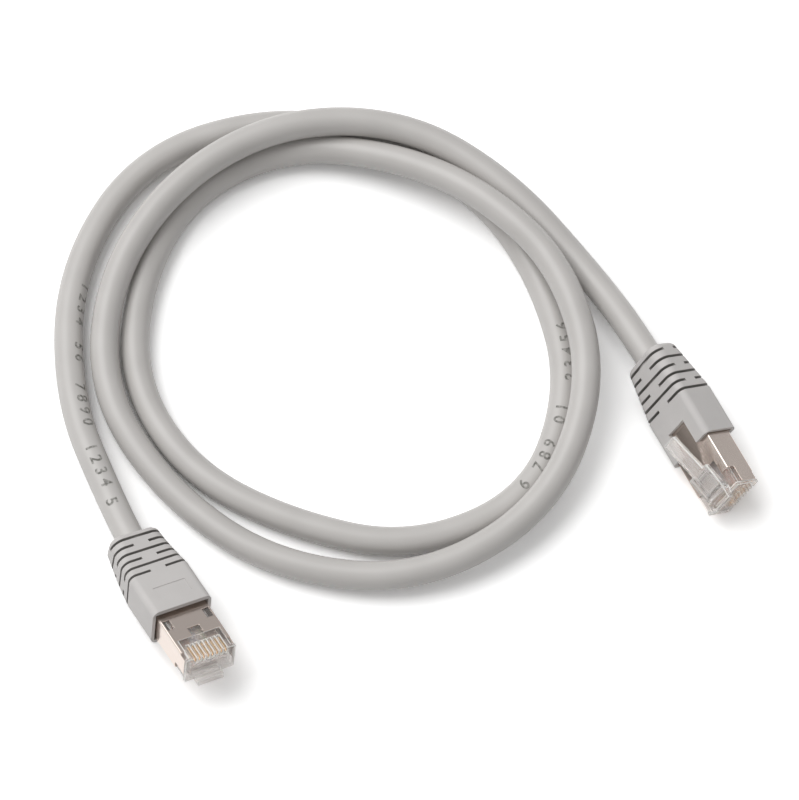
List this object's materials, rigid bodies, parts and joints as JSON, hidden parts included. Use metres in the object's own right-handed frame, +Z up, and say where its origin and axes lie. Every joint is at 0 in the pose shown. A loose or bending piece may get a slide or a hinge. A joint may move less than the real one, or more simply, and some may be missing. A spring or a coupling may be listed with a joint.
{
  "type": "ethernet patch cable",
  "caption": "Loosely coiled grey shielded network patch cable with a latching modular plug and a slotted strain relief boot at each end.",
  "frame": {"origin": "middle of the two plugs' footprint, on the surface that the cable lies on", "axes": "+Z up; +X along the longer side of the two plugs' footprint, from the plug lying on its latch to the plug whose latch faces up; both noses point towards -Y"},
  "size_m": [0.1493, 0.1413, 0.0163],
  "materials": {
    "jacket": "warm light grey PVC, satin",
    "boot": "grey moulded PVC, matte",
    "nickel": "bright nickel over stamped brass",
    "clear": "clear polished polycarbonate",
    "load_bar": "clear moulded polycarbonate",
    "gold": "gold over nickel, polished",
    "foil": "thin aluminium foil",
    "tinned_copper": "tinned copper wire",
    "wire_white": "polyethylene, white with a colour stripe",
    "wire_orange": "orange polyethylene",
    "wire_green": "green polyethylene",
    "wire_blue": "blue polyethylene",
    "wire_brown": "brown polyethylene"
  },
  "bodies": {
    "cable_and_plugs": {"cable_jacket": "jacket", "cable_foil": "foil", "cable_drain_wire": "tinned_copper", "wire_white_orange": "wire_white", "wire_orange": "wire_orange", "wire_white_green": "wire_white", "wire_blue": "wire_blue", "wire_white_blue": "wire_white", "wire_green": "wire_green", "wire_white_brown": "wire_white", "wire_brown": "wire_brown", "plug_a_housing": "clear", "plug_a_load_bar": "load_bar", "plug_a_shield": "nickel", "plug_a_crimp_ferrule": "nickel", "plug_a_boot": "boot", "plug_a_contact_1": "gold", "plug_a_contact_2": "gold", "plug_a_contact_3": "gold", "plug_a_contact_4": "gold", "plug_a_contact_5": "gold", "plug_a_contact_6": "gold", "plug_a_contact_7": "gold", "plug_a_contact_8": "gold", "plug_b_housing": "clear", "plug_b_load_bar": "load_bar", "plug_b_shield": "nickel", "plug_b_crimp_ferrule": "nickel", "plug_b_boot": "boot", "plug_b_contact_1": "gold", "plug_b_contact_2": "gold", "plug_b_contact_3": "gold", "plug_b_contact_4": "gold", "plug_b_contact_5": "gold", "plug_b_contact_6": "gold", "plug_b_contact_7": "gold", "plug_b_contact_8": "gold"},
    "plug_a_latch_lever": {"plug_a_latch": "clear"},
    "plug_b_latch_lever": {"plug_b_latch": "clear"}
  },
  "joints": [
    {"name": "plug_a_latch_press", "type": "hinge", "parent": "cable_and_plugs", "child": "plug_a_latch_lever", "pos_m": [-0.04763, -0.03535, 0.00797], "axis": [0.8765, 0.4364, -0.2034], "range_deg": [0, 12], "stiffness_Nm_per_rad": 0.2},
    {"name": "plug_b_latch_press", "type": "hinge", "parent": "cable_and_plugs", "child": "plug_b_latch_lever", "pos_m": [0.05945, 0.0052, 0.00933], "axis": [-0.5112, -0.2142, -0.8323], "range_deg": [0, 12], "stiffness_Nm_per_rad": 0.2}
  ]
}
